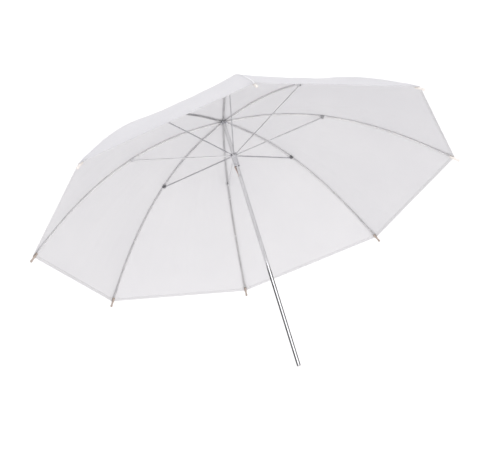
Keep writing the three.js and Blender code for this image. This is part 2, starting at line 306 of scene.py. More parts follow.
def cut_plate(name, outlines, thickness, edge, look, matrix=None, z=0.0):
    """A flat sheet-metal piece in the XY plane with broken edges: the first outline, less the others."""
    curve = bpy.data.curves.new(name, "CURVE")
    curve.dimensions = "2D"
    curve.fill_mode = "BOTH"
    curve.extrude = thickness / 2 - edge
    curve.bevel_depth = edge
    curve.bevel_resolution = 1
    curve.offset = -edge
    for outline in outlines:
        spline = curve.splines.new("POLY")
        spline.points.add(len(outline) - 1)
        for point, (x, y) in zip(spline.points, outline):
            point.co = (x, y, 0, 1)
        spline.use_cyclic_u = True
    drawn = bpy.data.objects.new(name, curve)
    bpy.context.scene.collection.objects.link(drawn)
    graph = bpy.context.evaluated_depsgraph_get()
    mesh = bpy.data.meshes.new_from_object(drawn.evaluated_get(graph))
    bpy.data.objects.remove(drawn)
    bpy.data.curves.remove(curve)
    mesh.name = name
    mesh.materials.clear()
    mesh.materials.append(look)
    work = bmesh.new()
    work.from_mesh(mesh)
    bmesh.ops.remove_doubles(work, verts=work.verts, dist=1e-4)
    bmesh.ops.recalc_face_normals(work, faces=work.faces)
    work.to_mesh(mesh)
    work.free()
    mesh.transform(Matrix.Translation((0, 0, z)))
    if matrix is not None:
        mesh.transform(matrix)
    obj = bpy.data.objects.new(name, mesh)
    bpy.context.scene.collection.objects.link(obj)
    return obj


def merge(name, pieces):
    """Several meshes as one piece of several bodies."""
    work = bmesh.new()
    look = pieces[0].data.materials[0]
    for piece in pieces:
        work.from_mesh(piece.data)
        bpy.data.objects.remove(piece)
    mesh = bpy.data.meshes.new(name)
    work.to_mesh(mesh)
    work.free()
    mesh.materials.append(look)
    obj = bpy.data.objects.new(name, mesh)
    bpy.context.scene.collection.objects.link(obj)
    return obj


def sweep(name, rings, look, matrix=None):
    """A closed section carried along a path, with its ends capped: rings are lists of points."""
    count = len(rings[0])
    vertices = [p for ring in rings for p in ring]
    faces = []
    for i in range(len(rings) - 1):
        for j in range(count):
            n = (j + 1) % count
            faces.append((i * count + j, i * count + n, (i + 1) * count + n, (i + 1) * count + j))
    faces.append(tuple(range(count)))
    faces.append(tuple((len(rings) - 1) * count + i for i in range(count)))
    return face_out(mesh_object(name, vertices, faces, look, matrix))


def settle(obj, body, slot, *replaced):
    """Puts a finished piece on its body."""
    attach(obj, body)
    if replaced:
        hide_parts(*replaced)
    return obj


# ---------------------------------------------------------------- materials
def material(name, colour, roughness, metallic=0.0):
    m = bpy.data.materials.new(name)
    m.use_nodes = True
    shader = m.node_tree.nodes["Principled BSDF"]
    shader.inputs["Base Color"].default_value = (*colour, 1.0)
    shader.inputs["Roughness"].default_value = roughness
    shader.inputs["Metallic"].default_value = metallic
    return m, m.node_tree, shader


def node(tree, kind, **values):
    n = tree.nodes.new(kind)
    for key, value in values.items():
        if key in n.inputs:
            n.inputs[key].default_value = value
        else:
            setattr(n, key, value)
    return n


def ramp(tree, source, stops):
    """A colour ramp over a value, with stops as [(place, colour), ...]."""
    r = tree.nodes.new("ShaderNodeValToRGB")
    while len(r.color_ramp.elements) < len(stops):
        r.color_ramp.elements.new(0.5)
    for element, (place, colour) in zip(r.color_ramp.elements, stops):
        element.position = place
        element.color = (*colour, 1.0)
    tree.links.new(source, r.inputs["Fac"])
    return r


def cloth_material(name, colour, shade, through, thread=0.55):
    """Thin woven nylon: a plain weave, faint creases, a soft sheen, and light that comes through it."""
    m, tree, shader = material(name, colour, 0.6)
    coords = node(tree, "ShaderNodeTexCoord")
    cut_place = node(tree, "ShaderNodeAttribute", attribute_name="cloth")
    broad = node(tree, "ShaderNodeTexNoise", Scale=6.0, Detail=4.0, Roughness=0.55)
    tree.links.new(coords.outputs["Object"], broad.inputs["Vector"])
    tint = ramp(tree, broad.outputs["Fac"], [(0.32, shade), (0.68, colour)])
    threads = []
    for direction in ("X", "Y"):
        bands = node(tree, "ShaderNodeTexWave", wave_type="BANDS", bands_direction=direction)
        bands.inputs["Scale"].default_value = 314.0 / thread
        bands.inputs["Distortion"].default_value = 0.4
        bands.inputs["Detail Scale"].default_value = 0.2
        tree.links.new(cut_place.outputs["Vector"], bands.inputs["Vector"])
        threads.append(bands)
    weave = node(tree, "ShaderNodeMath", operation="MULTIPLY")
    tree.links.new(threads[0].outputs["Fac"], weave.inputs[0])
    tree.links.new(threads[1].outputs["Fac"], weave.inputs[1])
    crease = node(tree, "ShaderNodeTexNoise", Scale=30.0, Detail=5.0)
    tree.links.new(coords.outputs["Object"], crease.inputs["Vector"])
    height = node(tree, "ShaderNodeMath", operation="MULTIPLY_ADD")
    height.inputs[1].default_value = 0.12
    tree.links.new(weave.outputs[0], height.inputs[0])
    tree.links.new(crease.outputs["Fac"], height.inputs[2])
    bump = node(tree, "ShaderNodeBump", Strength=0.35, Distance=0.0006)
    tree.links.new(height.outputs[0], bump.inputs["Height"])
    shader.inputs["Sheen Weight"].default_value = 0.15
    shader.inputs["Sheen Roughness"].default_value = 0.4
    shader.inputs["Specular IOR Level"].default_value = 0.25
    tree.links.new(tint.outputs["Color"], shader.inputs["Base Color"])
    tree.links.new(bump.outputs["Normal"], shader.inputs["Normal"])
    glow = node(tree, "ShaderNodeBsdfTranslucent")
    tree.links.new(tint.outputs["Color"], glow.inputs["Color"])
    tree.links.new(bump.outputs["Normal"], glow.inputs["Normal"])
    mix = node(tree, "ShaderNodeMixShader")
    mix.inputs["Fac"].default_value = through
    tree.links.new(shader.outputs[0], mix.inputs[1])
    tree.links.new(glow.outputs[0], mix.inputs[2])
    tree.links.new(mix.outputs[0], tree.nodes["Material Output"].inputs["Surface"])
    return m


def metal_material(name, colour, worn, roughness, rough_spread=0.12, scale=140.0, edge=1.0):
    """Plated steel: a fine drawn grain, and handled patches that are duller and darker."""
    m, tree, shader = material(name, colour, roughness, 1.0)
    shader.inputs["Specular Tint"].default_value = (edge, edge, edge, 1.0)
    coords = node(tree, "ShaderNodeTexCoord")
    patches = node(tree, "ShaderNodeTexNoise", Scale=scale * 0.25, Detail=5.0, Roughness=0.6)
    grain = node(tree, "ShaderNodeTexNoise", Scale=scale * 6.0, Detail=2.0)
    for n in (patches, grain):
        tree.links.new(coords.outputs["Object"], n.inputs["Vector"])
    tint = ramp(tree, patches.outputs["Fac"], [(0.35, worn), (0.62, colour)])
    rough = node(tree, "ShaderNodeMapRange")
    rough.inputs["To Min"].default_value = roughness + rough_spread
    rough.inputs["To Max"].default_value = max(0.03, roughness - rough_spread)
    tree.links.new(patches.outputs["Fac"], rough.inputs["Value"])
    bump = node(tree, "ShaderNodeBump", Strength=0.08, Distance=0.0002)
    tree.links.new(grain.outputs["Fac"], bump.inputs["Height"])
    tree.links.new(tint.outputs["Color"], shader.inputs["Base Color"])
    tree.links.new(rough.outputs["Result"], shader.inputs["Roughness"])
    tree.links.new(bump.outputs["Normal"], shader.inputs["Normal"])
    return m


def plastic_material(name, colour, shade, roughness):
    """Moulded plastic: a fine pebbled skin and a slight mottling of the colour."""
    m, tree, shader = material(name, colour, roughness)
    coords = node(tree, "ShaderNodeTexCoord")
    mottle = node(tree, "ShaderNodeTexNoise", Scale=90.0, Detail=3.0)
    pebble = node(tree, "ShaderNodeTexVoronoi", Scale=1600.0)
    for n in (mottle, pebble):
        tree.links.new(coords.outputs["Object"], n.inputs["Vector"])
    tint = ramp(tree, mottle.outputs["Fac"], [(0.35, shade), (0.65, colour)])
    bump = node(tree, "ShaderNodeBump", Strength=0.15, Distance=0.0002)
    tree.links.new(pebble.outputs["Distance"], bump.inputs["Height"])
    tree.links.new(tint.outputs["Color"], shader.inputs["Base Color"])
    tree.links.new(bump.outputs["Normal"], shader.inputs["Normal"])
    return m


CLOTH = cloth_material("canopy_cloth", (0.655, 0.65, 0.662), (0.635, 0.63, 0.645), 0.26)
# The doubled cloth of hems and corner patches is paler than the single cloth: partly its own colour, as two
# layers reflect more, and partly painted light that hides the darker band the doubled layer makes.
DOUBLE_CLOTH = cloth_material("canopy_double_cloth", (0.78, 0.775, 0.785), (0.76, 0.755, 0.765), 0.36)
# The seam cloth is paler still and lets less light through: partly the doubled layers' own colour, and
# partly painted light that cancels the rib's shadow seen through the seam.
SEAM_CLOTH = cloth_material("canopy_seam_cloth", (0.88, 0.875, 0.885), (0.86, 0.855, 0.865), 0.20)
THREAD_LOOK = plastic_material("sewing_thread", (0.80, 0.80, 0.79), (0.76, 0.76, 0.75), 0.6)
# Lit, middle and shaded copies of one rib steel, given rib by rib: the pale copies are painted light and the
# deep copies painted shade, for ribs whose near side catches the light or lies in shadow.
RIB_PAINTED_LIT = metal_material("rib_steel_painted_lit", (0.96, 0.955, 0.95), (0.86, 0.855, 0.86), 0.42)
RIB_MIDDLE = metal_material("rib_steel", (0.86, 0.855, 0.86), (0.74, 0.735, 0.75), 0.38)
RIB_PAINTED_SHADE = metal_material("rib_steel_painted_shade", (0.58, 0.575, 0.58), (0.47, 0.465, 0.48), 0.34)
RIB_LIT_AND_SHADED = (RIB_PAINTED_LIT, RIB_PAINTED_LIT, RIB_PAINTED_SHADE, RIB_PAINTED_SHADE, RIB_PAINTED_LIT, RIB_MIDDLE, RIB_PAINTED_SHADE, RIB_MIDDLE)
# Lit, middle and shaded copies of one stretcher steel, given stretcher by stretcher: the pale copies are
# painted light and the deep copies painted shade, set to how the light falls on each.
LINK_PAINTED_LIT = metal_material("stretcher_steel_painted_lit", (0.82, 0.82, 0.83), (0.72, 0.72, 0.73), 0.34)
LINK_MIDDLE = metal_material("stretcher_steel", (0.74, 0.74, 0.75), (0.64, 0.64, 0.65), 0.32)
LINK_PAINTED_SHADE = metal_material("stretcher_steel_painted_shade", (0.56, 0.56, 0.58), (0.47, 0.47, 0.49), 0.30)
LINK_LIT_AND_SHADED = (LINK_MIDDLE, LINK_MIDDLE, LINK_PAINTED_SHADE, LINK_PAINTED_SHADE, LINK_PAINTED_LIT, LINK_PAINTED_SHADE, LINK_PAINTED_LIT, LINK_PAINTED_SHADE)
POLISHED = metal_material("polished_shaft", (0.86, 0.86, 0.865), (0.79, 0.79, 0.795), 0.10, 0.04, edge=0.15)
SATIN = metal_material("runner_metal", (0.80, 0.80, 0.82), (0.70, 0.70, 0.72), 0.22, 0.08, edge=0.2)
NOTCH_METAL = metal_material("crown_metal", (0.68, 0.68, 0.71), (0.56, 0.56, 0.59), 0.30)
DARK = metal_material("dark_metal", (0.20, 0.20, 0.21), (0.30, 0.30, 0.31), 0.38)
# The clips' tones, given clip by clip: the grey and pale copies are painted light over the dark clip metal,
# for clips that catch the light.
CLIP_GREY = metal_material("clip_metal", (0.42, 0.42, 0.43), (0.52, 0.52, 0.53), 0.38)
CLIP_LOOKS = (CLIP_GREY, LINK_PAINTED_LIT, CLIP_GREY, DARK, LINK_PAINTED_LIT, DARK, LINK_PAINTED_LIT, DARK)
LEAF = metal_material("catch_metal", (0.80, 0.66, 0.58), (0.62, 0.50, 0.44), 0.36)
# The tan tip plastic is painted shade: a darker copy of the pale cream tips, given to the four tips seen
# against the light.
TIP_PAINTED_SHADE = plastic_material("tip_plastic", (0.37, 0.31, 0.27), (0.32, 0.265, 0.23), 0.45)
CREAM = plastic_material("tip_plastic_pale", (0.72, 0.68, 0.64), (0.66, 0.62, 0.58), 0.45)
TIP_LOOKS = (CREAM, CREAM, CREAM, CREAM, TIP_PAINTED_SHADE, TIP_PAINTED_SHADE, TIP_PAINTED_SHADE, TIP_PAINTED_SHADE)
WHITE = plastic_material("white_plastic", (0.78, 0.78, 0.77), (0.73, 0.73, 0.725), 0.42)


# ---------------------------------------------------------------- shaft, crown and runner
def box_tool(low, high):
    """A box to cut with, between two corners in the crown's frame."""
    corners = [(x, y, z) for x in (low[0], high[0]) for y in (low[1], high[1]) for z in (low[2], high[2])]
    faces = [(0, 1, 3, 2), (4, 6, 7, 5), (0, 4, 5, 1), (2, 3, 7, 6), (0, 2, 6, 4), (1, 5, 7, 3)]
    return face_out(mesh_object("tool", corners, faces, None))


def pin_outline(radius, half, head=0.0, head_height=0.0):
    """A pin along Y, centred, with domed heads when it has any."""
    ends = [(0, -half - head_height), (radius + head * 0.55, -half - head_height), (radius + head, -half)]
    if not head:
        ends = [(0, -half), (radius, -half)]
    top = [*ends, *([(radius, -half)] if head else [])]
    return top + [(r, -a) for r, a in reversed(top)]


def pin(name, look, place, radius, half, head=0.0, head_height=0.0, segments=24):
    """A pin across the shaft or a clip, along Z."""
    turn = Matrix.Rotation(math.pi / 2, 4, "X")
    outline = pin_outline(radius, half, head, head_height)
    return lathe(name, outline, look, segments, min(0.2, radius / 3), place @ turn)


def shaft():
    slot_top, slot_bottom = CATCH_TOP - SLOT_LEAD, CATCH_TOP + CATCH_LENGTH + SLOT_TAIL
    rings = [SHAFT_TOP, STOP_AT - 3, STOP_AT + 3, slot_top - 1, slot_bottom + 1, SHAFT_BOTTOM]
    outline = [(SHAFT_BORE, a) for a in rings] + [(SHAFT_RADIUS, a) for a in reversed(rings)]
    tube = lathe("shaft_tube", outline, POLISHED, 72, 0.2)
    slot = box_tool(
        (-SHAFT_RADIUS - 1.5, -slot_bottom, -SLOT_WIDTH / 2),
        (-SHAFT_RADIUS + 1.5, -slot_top, SLOT_WIDTH / 2),
    )
    catch_hole = pin("tool", None, CATCH_PIN_AT, CATCH_PIN + GAP, PIN_HOLE_HALF)
    stop_hole = pin("tool", None, STOP_PIN_AT, STOP_PIN + GAP, PIN_HOLE_HALF)
    cut(tube, [slot, catch_hole, stop_hole])
    tube.data.transform(CROWN)
    settle(soften(tube), "shaft_assembly", "polished_shaft", "shaft")
    stop = pin("stop_pin", LINK_MIDDLE, CROWN @ STOP_PIN_AT, STOP_PIN, STOP_PIN_HALF)
    settle(soften(stop), "shaft_assembly", "rib_steel", "runner_stop_pin")
    axle = pin("catch_axle", LINK_MIDDLE, CROWN @ CATCH_PIN_AT, CATCH_PIN, CATCH_PIN_HALF)
    settle(soften(axle), "shaft_assembly", "rib_steel", "catch_pin")


def shaft_plug():
    bottom, end, spigot = SHAFT_BOTTOM, PLUG_END, SHAFT_BORE - GAP
    outline = [
        (0, bottom - 13), (0, end - 0.6), (1.2, end - 0.6), (1.5, end - 0.1), (SHAFT_RADIUS - 0.9, end),
        (SHAFT_RADIUS, end - 0.9), (SHAFT_RADIUS, bottom + GAP), (spigot, bottom + GAP),
        (spigot, bottom - 13),
    ]
    plug = lathe("end_plug", outline, POLISHED, 64, 0.25, CROWN)
    settle(soften(plug), "shaft_assembly", "polished_shaft", "shaft_end_plug")


def finial():
    outline = [
        (0, -18.6), (BORE, -18.6), (BORE, -8.6), (5.6, -8.6), (5.6, -10.9), (5.05, -11.4), (5.05, -13.4),
        (4.75, -13.7), (4.75, -14.6), (5.0, -14.9), (5.0, -26.4), (4.7, -28.6), (4.1, -30.4), (3.2, -31.6),
        (1.6, -32.0), (0, -32.0),
    ]
    cap = lathe("finial_cap", outline, WHITE, 64, 0.5, CROWN)
    settle(soften(cap), "shaft_assembly", "white_plastic", "finial")


def crown_washer():
    outline = [
        (BORE, -3.6), (BORE, -8.3), (6.6, -8.3), (7.2, -8.0), (10.2, -7.75), (12.6, -7.15), (14.8, -6.2),
        (16.4, -5.1), (17.0, -4.2), (16.6, -3.6),
    ]
    washer = lathe("crown_washer", outline, WHITE, 96, 0.5, CROWN)
    settle(soften(washer), "shaft_assembly", "white_plastic", "canopy_cap")


def notch_outline(along, half, below):
    """A slotted notch's profile, with the groove that its wire ring lies in."""
    groove = GROOVE_HALF_HEIGHT
    return [
        (BORE, along - half), *below, (NOTCH_RADIUS, along + half), (NOTCH_RADIUS, along + groove),
        (GROOVE_FLOOR, along + groove), (GROOVE_FLOOR, along - groove), (NOTCH_RADIUS, along - groove),
        (NOTCH_RADIUS, along - half + 0.6), (NOTCH_RADIUS - 0.6, along - half),
    ]


def slot_tools(along, top, bottom):
    """One cutter per rib: the slot that its eye turns in."""
    tools = []
    for k in range(RIBS):
        low = (SLOT_FLOOR, -(along + bottom), -SLOT_WIDTH / 2)
        high = (NOTCH_RADIUS + 2, -(along + top), SLOT_WIDTH / 2)
        tool = box_tool(low, high)
        tool.data.transform(rib_turn(k))
        tools.append(tool)
    return tools


def slotted(name, outline, tools, look):
    piece = cut(lathe(name, outline, look, 96, 0.18), tools)
    bevel(piece, 0.12)
    piece.data.transform(CROWN)
    return soften(piece)


def wire_ring(name, along, look):
    major, minor = 96, 14
    vertices = []
    for i in range(major):
        a = 2 * math.pi * i / major
        for j in range(minor):
            b = 2 * math.pi * j / minor
            radius = PIVOT_RADIUS + RING_WIRE * math.cos(b)
            vertices.append((radius * math.cos(a), -along + RING_WIRE * math.sin(b), radius * math.sin(a)))
    faces = []
    for i in range(major):
        this, after = i * minor, (i + 1) % major * minor
        for j in range(minor):
            n = (j + 1) % minor
            faces.append((this + j, this + n, after + n, after + j))
    return soften(face_out(mesh_object(name, vertices, faces, look, CROWN)))


def crown():
    half = 3.0
    outline = notch_outline(0, half, [(BORE, half)])
    notch = slotted("crown_hub", outline, slot_tools(0, -half - 1, half + 1), NOTCH_METAL)
    settle(notch, "shaft_assembly", "dark_metal", "crown_notch")
    settle(wire_ring("crown_wire", 0, LINK_MIDDLE), "shaft_assembly", "rib_steel", "crown_wire_ring")


def runner():
    half, wall, bead, end = RUNNER_HALF, 5.7, 6.5, RUNNER_END
    sleeve = [
        (BORE, end), (bead - 0.6, end), (bead, end - 0.6), (bead, end - 2.4), (wall, end - 3.0),
        (wall, end - 6.0), (wall - 0.22, end - 6.25), (wall - 0.22, end - 6.75), (wall, end - 7.0),
        (wall, RUNNER_AT + half + 3.2), (wall + 0.5, RUNNER_AT + half + 2.0), (wall + 0.8, RUNNER_AT + half),
    ]
    tools = slot_tools(RUNNER_AT, -half - 1, half - 0.01)
    piece = slotted("runner_sleeve", notch_outline(RUNNER_AT, half, sleeve), tools, SATIN)
    settle(piece, "runner_assembly", "runner_metal", "runner")
    wire = wire_ring("runner_wire", RUNNER_AT, LINK_MIDDLE)
    settle(wire, "runner_assembly", "rib_steel", "runner_wire_ring")


def catch():
    eye, out = CATCH_PIN + GAP + 0.7, 8.0
    leaf = [
        (-CATCH_PIVOT_X + eye, -CATCH_AT), (-CATCH_PIVOT_X + eye * 0.7, -CATCH_AT + 4), (-1.7, -CATCH_TOP),
        (-out + 0.6, -CATCH_TOP), (-out, -CATCH_TOP - 0.8), (-CATCH_PIVOT_X - eye, -CATCH_AT),
        *arc(-CATCH_PIVOT_X, -CATCH_AT, eye, math.pi, 2 * math.pi)[1:-1],
    ]
    hole = circle(-CATCH_PIVOT_X, -CATCH_AT, CATCH_PIN + GAP, turns=-1)
    piece = cut_plate("catch_spring_leaf", [leaf, hole], 2 * BLADE_HALF, 0.2, LEAF, CROWN)
    settle(soften(piece), "catch", "catch_metal", "catch_leaf")


# ---------------------------------------------------------------- ribs and stretchers
def channel_section(half_width):
    """A U channel's section as (aside, lift): rounded back, open on the inner side."""
    w, d, wall = half_width, RIB_HALF_DEPTH, min(RIB_WALL, half_width * 0.5)
    outer = [(-w, -d), (-w, d), (w, d), (w, -d)]
    inner = [(w - wall, -d), (w - wall, d - RIB_WEB), (-w + wall, d - RIB_WEB), (-w + wall, -d)]
    corners = [0.12, 0.55, 0.55, 0.12, 0.12, 0.25, 0.25, 0.12]
    out = []
    points = outer + inner
    for i, (point, r) in enumerate(zip(points, corners)):
        b = Vector(point)
        before, after = Vector(points[i - 1]) - b, Vector(points[(i + 1) % 8]) - b
        p, q = b + before.normalized() * r, b + after.normalized() * r
        for j in range(4):
            t = j / 3
            out.append(p * (1 - t) ** 2 + b * (2 * t * (1 - t)) + q * t * t)
    return out


def rib(k):
    steps, start, end = 90, 10.5, 476.0
    rings = []
    for i in range(steps + 1):
        r = start + 8.0 * i / 12 if i < 12 else lerp(start + 8.0, end, (i - 12) / (steps - 12))
        width = lerp(1.1, RIB_HALF_WIDTH, smooth((r - start) / 7.0))
        rings.append([(*rib_curve(r, lift), aside) for aside, lift in channel_section(width)])
    channel = sweep("channel", rings, RIB_LIT_AND_SHADED[k])
    spread = math.asin(1.2 / EYE_RADIUS)
    stations = [9.0, 12.0, 16.0, 20.0, 24.0]
    outline = [rib_curve(r, -1.05) for r in reversed(stations)]
    outline += list(reversed(arc(PIVOT_RADIUS, 0, EYE_RADIUS, spread, 2 * math.pi - spread, 20)))
    outline += [rib_curve(r, 1.0) for r in stations]
    hole = circle(PIVOT_RADIUS, 0, EYE_HOLE)
    blade = cut_plate("blade", [outline, hole], 2 * BLADE_HALF, 0.15, RIB_LIT_AND_SHADED[k])
    piece = merge(f"fluted_rib_{k + 1}", [channel, blade])
    piece.data.transform(rib_plane(k))
    settle(soften(piece), f"rib_assembly_{k + 1}", "rib_steel", f"rib_{k + 1}")


def tip(k):
    bore, radius, reach, back = 2.25, 2.9, 14.0, 10.0
    nose = radius * 0.95
    outline = [
        (bore, back), (bore, -2), (0, -2), (0, -reach), (nose * 0.55, -reach + 0.15),
        (nose * 0.86, -reach + 1.1), (nose, -reach + 2.8), (nose * 0.9, -reach + 4.4),
        (radius * 0.74, -reach + 6.0), (radius * 0.74, -4.0), (radius * 0.82, -2.6), (radius * 0.82, -1.4),
        (radius * 0.9, -0.8), (radius, 0.8), (radius, 5.0), (radius - 0.2, 5.3), (radius - 0.2, 6.0),
        (radius, 6.3), (radius, back - 0.5), (radius - 0.35, back),
    ]
    lean = Matrix.Rotation(rib_angle(CORNER_RADIUS) - math.pi / 2, 4, "Z")
    at = rib_plane(k) @ Matrix.Translation((CORNER_RADIUS, -CANOPY_DEPTH, 0)) @ lean
    piece = lathe(f"tip_sleeve_{k + 1}", outline, TIP_LOOKS[k], 32, 0.5, at)
    settle(soften(piece), f"rib_assembly_{k + 1}", "tip_plastic", f"rib_tip_{k + 1}")


def clip(k):
    """The folded sheet clip: two cheeks and a saddle over the rib's back, with a headed pin."""
    sheet, half = 0.7, 4.5
    look = CLIP_LOOKS[k]
    inner = RIB_HALF_WIDTH + GAP
    low, high = -CLIP_DROP - JOINT_EYE_RADIUS - 0.4, RIB_HALF_DEPTH + 0.75
    shape = [
        (-half, high), (-half, -0.8), (-2.6, low + 0.7), (-1.7, low), (1.7, low), (2.6, low + 0.7),
        (half, -0.8), (half, high),
    ]
    parts = [
        cut_plate("cheek", [shape], sheet, 0.15, look, z=inner + sheet / 2),
        cut_plate("cheek", [shape], sheet, 0.15, look, z=-inner - sheet / 2),
    ]
    saddle = [(-half, -inner - sheet), (half, -inner - sheet), (half, inner + sheet), (-half, inner + sheet)]
    lay = Matrix.Translation((0, high - 0.3, 0)) @ Matrix.Rotation(math.pi / 2, 4, "X")
    parts.append(cut_plate("saddle", [saddle], 0.55, 0.15, look, lay))
    across = Matrix.Translation((0, -CLIP_DROP, 0))
    parts.append(pin("pin", look, across, 0.5, inner + sheet, head=0.7, head_height=0.5))
    piece = merge(f"joint_clip_{k + 1}", parts)
    x, y = rib_curve(CLIP_RADIUS)
    turn = Matrix.Rotation(rib_angle(CLIP_RADIUS), 4, "Z")
    piece.data.transform(rib_plane(k) @ Matrix.Translation((x, y, 0)) @ turn)
    settle(soften(piece), f"rib_assembly_{k + 1}", "dark_metal", f"rib_clip_{k + 1}")


def fat(x):
    """Turns a circle's sine or cosine into a squarer section's."""
    return math.copysign(abs(x) ** 0.6, x)


def stretcher(k):
    """A drawn steel link: a round-edged shank that is pressed flat at its two eyes."""
    x, y = CLIP_PIN_AT[0] - PIVOT_RADIUS, CLIP_PIN_AT[1] + RUNNER_AT
    length, half = math.hypot(x, y), 1.25
    near, far = math.asin(half / EYE_RADIUS), math.asin(half / JOINT_EYE_RADIUS)
    outline = arc(0, 0, EYE_RADIUS, near, 2 * math.pi - near, 20)
    outline += arc(length, 0, JOINT_EYE_RADIUS, far - math.pi, math.pi - far, 20)
    holes = [circle(0, 0, EYE_HOLE, turns=-1), circle(length, 0, 0.85, turns=-1)]
    lean = Matrix.Rotation(math.atan2(y, x), 4, "Z")
    at = rib_plane(k) @ Matrix.Translation((PIVOT_RADIUS, -RUNNER_AT, 0)) @ lean
    look = LINK_LIT_AND_SHADED[k]
    flat = cut_plate("flat", [outline, *holes], 2 * BLADE_HALF, 0.3, look, at)
    rings = []
    for i in range(SHANK_STEPS + 1):
        along = lerp(SHANK_START, length - SHANK_START, i / SHANK_STEPS)
        leave, arrive = along - SHANK_START, length - SHANK_START - along
        swell = smooth(leave / SHANK_TAPER) * smooth(arrive / SHANK_TAPER)
        thick = lerp(BLADE_HALF * 0.8, SHANK_HALF_THICKNESS, swell)
        deep = lerp(half * 0.8, SHANK_HALF_DEPTH, swell)
        rings.append([
            (along, deep * fat(math.sin(a)), thick * fat(math.cos(a)))
            for a in (2 * math.pi * j / 20 for j in range(20))
        ])
    piece = merge(f"stretcher_link_bar_{k + 1}", [flat, sweep("shank", rings, look, at)])
    settle(soften(piece), f"stretcher_link_{k + 1}", "rib_steel", f"stretcher_{k + 1}")


# ---------------------------------------------------------------- the canopy
ALONG = 96
ACROSS = 56
RIM_RATE = (CORNER_RADIUS - CLOTH_START) * math.hypot(1, rib_slope(CORNER_RADIUS))


def cloth_lift(r):
    return lerp(CLOTH_LIFT, CLOTH_LIFT_AT_TIP, smooth((r - 430) / 32))


def wrinkle(k, u, v):
    """Shallow tension folds: they run from the crown to the hem and fade at the seams and the hem."""
    fade = (4 * v * (1 - v)) ** 1.5 * smooth((u - 0.15) / 0.4) * smooth((1.03 - u) / 0.15)
    broad = noise.noise(Vector((k * 3.1, v * 5.0, u * 1.2)))
    fine = noise.noise(Vector((k * 7.7 + 20.0, v * 16.0, u * 1.6)))
    return fade * (1.5 * broad + 0.7 * fine)


def panel_point(k, u, v, lift=0.0):
    """A point of the cloth between rib k and the next: u runs from crown to hem, v from rib to rib."""
    r = lerp(CLOTH_START, CORNER_RADIUS, u)
    x, y = rib_curve(r, cloth_lift(r) + lift)
    a = FIRST_RIB + k * SECTOR
    b, middle = a + SECTOR, a + SECTOR / 2
    slope = math.atan(rib_slope(r))
    bow = 4 * v * (1 - v) * math.sin(math.pi * min(1.0, u)) ** 1.2
    inward = SAGS[k] * bow + wrinkle(k, u, v)
    across = Vector((lerp(math.cos(a), math.cos(b), v), 0, lerp(math.sin(a), math.sin(b), v))) * x
    out = Vector((math.cos(middle), 0, math.sin(middle)))
    point = across + Vector((0, y, 0)) - (out * math.sin(slope) + Vector((0, math.cos(slope), 0))) * inward
    return CROWN @ point


def panel_out(k, u):
    """The cloth's outward direction along a panel's middle."""
    middle = FIRST_RIB + (k + 0.5) * SECTOR
    slope = math.atan(rib_slope(lerp(CLOTH_START, CORNER_RADIUS, u)))
    return Vector((math.cos(middle) * math.sin(slope), math.cos(slope), math.sin(middle) * math.sin(slope)))


def panel_width(u):
    """From rib to rib, in millimetres."""
    return 2 * lerp(CLOTH_START, CORNER_RADIUS, u) * math.sin(SECTOR / 2)


def turning(u, v):
    """The share of the next rib in the cloth at (u, v). The cloth under a seam's band takes its own rib's
    share, and the change from one rib to the next lies between the two bands."""
    band = min(SEAM_BAND / panel_width(u), 0.25)
    return min(1.0, max(0.0, (v - band) / (1 - 2 * band)))


def grid_faces(rows, columns):
    return [
        (i * columns + j, i * columns + j + 1, (i + 1) * columns + j + 1, (i + 1) * columns + j)
        for i in range(rows - 1)
        for j in range(columns - 1)
    ]


def lay_weave(obj, places):
    """Stores each point's place in its flat cut, which the weave follows."""
    layer = obj.data.attributes.new("cloth", "FLOAT_VECTOR", "POINT")
    layer.data.foreach_set("vector", np.array([(x, y, 0.0) for x, y in places], np.float32).ravel())


def fold_with_ribs(obj, shares):
    """Lays the piece's points out along their shares, applies the object's transform, and puts its shape
    back after. The shares are not kept, and nothing ties the piece to the ribs."""
    count = len(obj.data.vertices)
    shaped = np.empty(count * 3)
    obj.data.vertices.foreach_get("co", shaped)
    pattern = np.zeros((count, 3))
    pattern[:, 0] = 0.5 - np.sin(np.arcsin(1 - 2 * np.clip(shares, 0, 1)) / 3)
    obj.data.vertices.foreach_set("co", pattern.ravel())
    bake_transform(obj)
    obj.data.vertices.foreach_set("co", shaped)
    obj.data.update()


def flat_pattern(k):
    """(width, length, area) in metres of a panel's cut: a stack of flat strips between rib points."""
    rows = [[panel_point(k, i / ALONG, v) for v in (0.0, 0.5, 1.0)] for i in range(ALONG + 1)]
    area = length = 0.0
    for a, b in zip(rows, rows[1:]):
        step = (b[1] - a[1]).length
        length += step
        area += step * ((a[2] - a[0]).length + (b[2] - b[0]).length) / 2
    return (rows[-1][2] - rows[-1][0]).length, length, area


def panel(k):
    vertices, shares, places = [], [], []
    for i in range(ALONG + 1):
        u = i / ALONG
        for j in range(ACROSS + 1):
            v = j / ACROSS
            vertices.append(panel_point(k, u, v))
            shares.append(turning(u, v))
            places.append(((v - 0.5) * panel_width(u) * MM, u * RIM_RATE * MM))
    obj = mesh_object(f"cloth_panel_{k + 1}", vertices, grid_faces(ALONG + 1, ACROSS + 1), CLOTH)
    obj.data.polygons.foreach_set("use_smooth", [True] * len(obj.data.polygons))
    lay_weave(obj, places)
    fold_with_ribs(obj, shares)
    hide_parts(f"canopy_panel_{k + 1}")
    return obj


HEM_SECTION = [
    (-1.0, -0.12), (-0.97, -0.34), (-0.5, -0.38), (-0.12, -0.42), (0.03, -0.4), (0.1, -0.22), (0.12, 0.0),
    (0.09, 0.2), (0.0, 0.3), (-0.1, 0.26), (-0.16, 0.1),
]


